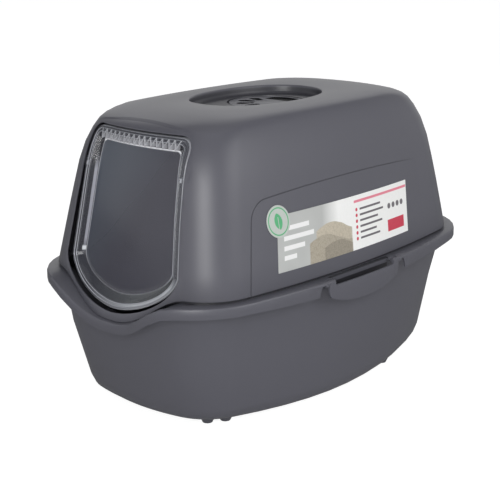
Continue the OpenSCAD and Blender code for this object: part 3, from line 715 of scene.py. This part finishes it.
def flap_moulding(depth):
    """The flap's stepped edge, slope and sunk pane as one thin closed shell."""
    # each ring's millimetres inwards from the outline and behind the flap's face
    front = [(0.0, 7.6), (0.0, 1.0), (0.3, 0.3), (0.9, 0.0), (2.5, 0.0), (2.9, 0.3), (3.3, 1.1),
             (5.9, 1.1), (6.3, 0.8), (6.8, 0.8), (7.4, 1.3), (8.0, 2.2), (10.4, depth * 0.55),
             (10.9, depth * 0.62), (14.6, depth - 0.5), (15.2, depth - 0.1), (PANE_IN, depth)]
    back = [(PANE_IN, depth + FLAP_SHELL), (14.4, depth + FLAP_SHELL - 0.4), (8.4, 4.4),
            (7.0, 1.1 + FLAP_SHELL), (2.0, 1.1 + FLAP_SHELL), (2.0, 7.6)]
    count = len(flap_outline(0))
    points, across, faces, rows = [], [], [], []

    def ring(inset, deep, share=1.0):
        rows.append(len(points))
        for x, z in flap_outline(inset):
            x, z = x * share, PANE_MID + (z - PANE_MID) * share
            points.append((x, flap_face(x, z) + deep, z))
            across.append(inset if share == 1.0 else PANE_ACROSS)

    shares = (0.93, 0.8, 0.6, 0.4, 0.2, 0.04)
    for share in reversed(shares):
        ring(PANE_IN, depth + FLAP_SHELL, share)
    for inset, deep in back:
        ring(inset, deep)
    for inset, deep in front:
        ring(inset, deep)
    for share in shares:
        ring(PANE_IN, depth, share)
    for a, b in zip(rows[:-1], rows[1:]):
        for i in range(count):
            j = (i + 1) % count
            faces.append((a + i, a + j, b + j, b + i))
    faces.append(tuple(range(count - 1, -1, -1)))
    faces.append(tuple(range(rows[-1], rows[-1] + count)))
    pin_y = front_face(DOOR_TOP_W + 3, PIN_Z) + PIN_IN
    for side in (-1, 1):
        start = len(points)
        half = flap_half(PIN_Z)
        made, walls = cylinder_points(side * (half - 2.6), side * (half + 6.9), pin_y, PIN_Z, PIN_R)
        points += made
        across += [PIN_ACROSS] * len(made)
        faces += [tuple(start + k for k in wall) for wall in walls]
        # a tapered knob on the flap's face beside the pin
        start = len(points)
        middle = side * (half - 3.2)
        for deep, wide, tall in ((-0.6, 1.0, 2.2), (2.4, 1.7, 3.2)):
            for x, z in ((-wide, -tall), (wide, -tall), (wide, tall), (-wide, tall)):
                points.append((middle + x, flap_face(middle + x, PIN_Z + z) + deep, PIN_Z + z))
                across.append(KNOB_ACROSS)
        faces += [tuple(start + k for k in wall) for wall in BLOCK]
    return add_mesh("flap_moulding", points, faces, across)


def flap_ribs(count, depth):
    """V-shaped ribs that stand on the slope along the flap's top."""
    points, faces = [], []
    # top and foot of the ribs, and half their row and thickness
    high, low, reach, thick = 338.4, 328.0, 64.5, 0.45
    pitch = 2 * reach / count
    for k in range(2 * count):
        x0 = -reach + pitch * k / 2
        x1 = x0 + pitch / 2
        z0, z1 = (high, low) if k % 2 == 0 else (low, high)
        along = Vector((x1 - x0, 0, z1 - z0)).normalized()
        side = Vector((-along.z, 0, along.x)) * thick
        start = len(points)
        for x, z in ((x0, z0), (x1, z1)):
            # the slope's own depth under the rib at this height
            floor_deep = 1.2 + (DOOR_TOP - z - 6) * depth / 9.6
            foot = max(1.6, floor_deep)
            for sign, deep in ((-1, 0.4), (1, 0.4), (1, foot), (-1, foot)):
                px, pz = x + side.x * sign, z + side.z * sign
                points.append((px, flap_face(px, pz) + deep, pz))
        faces += [tuple(start + i for i in wall) for wall in BLOCK]
    return add_mesh("flap_ribs", points, faces)


# ---- stage ------------------------------------------------------------------------------

# Lamps: name, azimuth and elevation in degrees, distance and size in metres, power in watts
LAMPS = (
    ("key", 36, 17, 2.6, 1.1, 30),
    ("top", 10, 84, 2.2, 1.8, 5),
    ("side", 104, 26, 2.6, 1.6, 18),
    ("back", 205, 42, 2.6, 1.6, 6),
)
LAMP_TARGET, CAMERA_TARGET = Vector((0, 0, 0.18)), Vector((0, MIDDLE_Y * MM, 0.2))
CAMERA_SHIFT, SENSOR_WIDTH = (-0.0265, -0.0663), 36
WHITE = (1, 1, 1, 1)
# Share of the floor's colour that camera rays see as plain glow, and the strengths that camera
# rays and glossy rays see
GLOW_SHARE, FLOOR_GLOW, FLOOR_MIRRORED = 0.66, 1.40, 0.24
SOFT_LIGHT, FLOOR_SIZE = 0.27, 14


def aim(obj, target, azimuth, elevation, distance):
    """Places a lamp or camera round the target, facing it."""
    level = math.cos(elevation)
    back = Vector((math.sin(azimuth) * level, -math.cos(azimuth) * level, math.sin(elevation)))
    obj.location = target + back * distance
    obj.rotation_mode = "QUATERNION"
    obj.rotation_quaternion = (-back).to_track_quat("-Z", "Y")


def make_surround():
    """The pale surround: white to the camera, soft light, and a pale band for the gloss."""
    r = Surround("surround")
    dx, dy, dz = r.axes(r.node("ShaderNodeTexCoord", {}, out=0))
    left = dx * -1.0
    # what the gloss mirrors: a pale band round the horizon, paler on the left
    band = (1.0 - step(dz, 0.30, 0.60)) * (step(left, -0.6, 0.4) * 0.42 + 0.5)
    band = band * (1.0 - step(left, 0.80, 0.97) * 0.75) * (1.0 - step(dy, 0.55, 0.75) * 0.14)
    # a brighter patch above it at the rear left lights the roof's front edge
    glint = step(left, 0.58, 0.66) * step(dz, 0.36, 0.46) * (1.0 - step(dz, 0.64, 0.74))
    band = band.call("MAXIMUM", glint * step(dy, 0.0, 0.2) * 1.5)
    rays = r.tree.nodes.new("ShaderNodeLightPath")
    camera_ray = Socket(r, rays.outputs["Is Camera Ray"])
    glossy_ray = Socket(r, rays.outputs["Is Glossy Ray"])
    soft = r.node("ShaderNodeBackground", {}, (0.95, 0.96, 1, 1), SOFT_LIGHT)
    pale = r.node("ShaderNodeBackground", {}, WHITE, camera_ray.call("MAXIMUM", band))
    seen = camera_ray.call("MAXIMUM", glossy_ray)
    mix = r.node("ShaderNodeMixShader", {}, seen, soft, pale)
    r.finish(mix)
    return r.world


def floor_white():
    """White floor that keeps a faint shadow and looks dim to the gloss."""
    r = Recipe("floor_white")
    mottle = r.noise(r.coords(), 3.0)
    body = r.surface(Base_Color=r.mix(mottle, (0.88, 0.88, 0.88, 1), (0.90, 0.90, 0.90, 1)),
                     Roughness=0.9)
    rays = r.tree.nodes.new("ShaderNodeLightPath")
    glow = r.node("ShaderNodeEmission", {}, WHITE, FLOOR_GLOW)
    dim = r.node("ShaderNodeEmission", {}, WHITE, FLOOR_MIRRORED)
    camera_share = Socket(r, rays.outputs["Is Camera Ray"]) * GLOW_SHARE
    seen = r.node("ShaderNodeMixShader", {}, camera_share, body, glow)
    glossy_ray = Socket(r, rays.outputs["Is Glossy Ray"])
    mirrored = r.node("ShaderNodeMixShader", {}, glossy_ray, seen, dim)
    r.finish(mirrored)
    return r.material


# ---- operators --------------------------------------------------------------------------


class StageOperator(bpy.types.Operator):
    """Sets the floor, the soft lamps, the pale surround and the camera"""

    bl_idname = "litterbox.stage"
    bl_label = "Stage"

    def execute(self, context):
        s = context.scene.litterbox_stage
        scene = context.scene
        scene.view_settings.view_transform = "Standard"
        scene.world = make_surround()

        bpy.ops.object.select_all(action="DESELECT")
        bpy.ops.mesh.primitive_plane_add(size=FLOOR_SIZE)
        floor = context.object
        floor.name = "floor"
        dress(floor, floor_white())

        for name, azimuth, elevation, distance, size, power in LAMPS:
            lamp = bpy.data.lights.new(name, "AREA")
            lamp.size, lamp.energy = size, power
            holder = bpy.data.objects.new(name, lamp)
            scene.collection.objects.link(holder)
            aim(holder, LAMP_TARGET, math.radians(azimuth), math.radians(elevation), distance)

        lens = bpy.data.cameras.new("camera")
        camera = bpy.data.objects.new("camera", lens)
        scene.collection.objects.link(camera)
        lens.sensor_width, lens.lens = SENSOR_WIDTH, s.lens
        lens.shift_x, lens.shift_y = CAMERA_SHIFT
        lens.clip_start, lens.clip_end = 0.05, 60
        aim(camera, CAMERA_TARGET, s.azimuth, s.elevation, s.distance)
        scene.camera = camera
        return {"FINISHED"}


class TrayOperator(bpy.types.Operator):
    """Finishes the tray with its rim"""

    bl_idname = "litterbox.tray"
    bl_label = "Tray"

    def execute(self, context):
        s = context.scene.litterbox
        # slots brings the painted shadow lines behind the clips
        grey = moulded_plastic("grey_plastic", s.plastic, slots=True)
        from_node("tray", "tray_moulding", "tray", grey, s.edge_round)
        return {"FINISHED"}


class HoodOperator(bpy.types.Operator):
    """Finishes the hood with its doorway and roof hollow"""

    bl_idname = "litterbox.hood"
    bl_label = "Hood"

    def execute(self, context):
        s = context.scene.litterbox
        # lines brings the hood's moulded lines and its painted shade
        grey = moulded_plastic("grey_plastic_hood", s.plastic, lines=True)
        from_node("hood", "hood_moulding", "hood", grey, s.edge_round)
        return {"FINISHED"}


class FlapOperator(bpy.types.Operator):
    """Finishes the clear swing flap"""

    bl_idname = "litterbox.flap"
    bl_label = "Flap"

    def execute(self, context):
        s = context.scene.litterbox
        flap = flap_moulding(s.bevel_depth / MM)
        dress(flap, clear_plastic("clear_flap", s.clear))
        ribs = flap_ribs(s.rib_count, s.bevel_depth / MM)
        dress(ribs, rib_plastic("clear_ribs"))
        for made in (flap, ribs):
            alone(made)
            bpy.ops.object.shade_smooth_by_angle(angle=FLAP_SHARP_ANGLE)
            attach(made, "flap")
        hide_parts("door_flap")
        return {"FINISHED"}


class ClipsOperator(bpy.types.Operator):
    """Finishes the two grip clips"""

    bl_idname = "litterbox.clips"
    bl_label = "Clips"

    def execute(self, context):
        grey = bpy.data.materials["grey_plastic"]
        from_node("clip_right", "right_clip_moulding", "right_clip", grey, CLIP_ROUND)
        from_node("clip_left", "left_clip_moulding", "left_clip", grey, CLIP_ROUND)
        return {"FINISHED"}


class VentOperator(bpy.types.Operator):
    """Finishes the vent cover and the filter pad"""

    bl_idname = "litterbox.vent"
    bl_label = "Vent and filter"

    def execute(self, context):
        s = context.scene.litterbox
        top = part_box("vent_cover")[1].z
        # painted shade below the vent cover's top face
        grey = moulded_plastic("grey_plastic_vent", s.plastic, dark_below=top - VENT_ROUND)
        from_node("vent_cover", "vent_moulding", "vent", grey, VENT_ROUND)
        dress(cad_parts["filter_pad"], carbon_felt("carbon_felt"))
        return {"FINISHED"}


class LabelOperator(bpy.types.Operator):
    """Prints the side label and the round sticker with plain shapes"""

    bl_idname = "litterbox.label"
    bl_label = "Label and sticker"

    def execute(self, context):
        s = context.scene.litterbox
        dress(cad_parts["side_label"], label_print("label_film", s.paper))
        dress(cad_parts["round_sticker"], sticker_print("sticker_film", s.green))
        return {"FINISHED"}


class LitterBoxPanel(bpy.types.Panel):
    bl_label = "Litter Box"
    bl_idname = "VIEW3D_PT_litterbox"
    bl_space_type = "VIEW_3D"
    bl_region_type = "UI"
    bl_category = "Litter Box"

    def draw(self, context):
        for group in (context.scene.litterbox, context.scene.litterbox_stage):
            for key in group.bl_rna.properties.keys():
                if key not in ("rna_type", "name"):
                    self.layout.prop(group, key)
        for kind in OPERATORS:
            self.layout.operator(kind.bl_idname)


OPERATORS = (StageOperator, TrayOperator, HoodOperator, FlapOperator, ClipsOperator, VentOperator,
             LabelOperator)
CLASSES = (BoxSettings, StageSettings) + OPERATORS + (LitterBoxPanel,)


def register():
    for kind in CLASSES:
        bpy.utils.register_class(kind)
    bpy.types.Scene.litterbox = PointerProperty(type=BoxSettings)
    bpy.types.Scene.litterbox_stage = PointerProperty(type=StageSettings)


def unregister():
    del bpy.types.Scene.litterbox_stage
    del bpy.types.Scene.litterbox
    for kind in reversed(CLASSES):
        bpy.utils.unregister_class(kind)


def main():
    register()
    bpy.ops.litterbox.stage()
    bpy.ops.litterbox.tray()
    bpy.ops.litterbox.hood()
    bpy.ops.litterbox.flap()
    bpy.ops.litterbox.clips()
    bpy.ops.litterbox.vent()
    bpy.ops.litterbox.label()


if __name__ == "__main__":
    main()
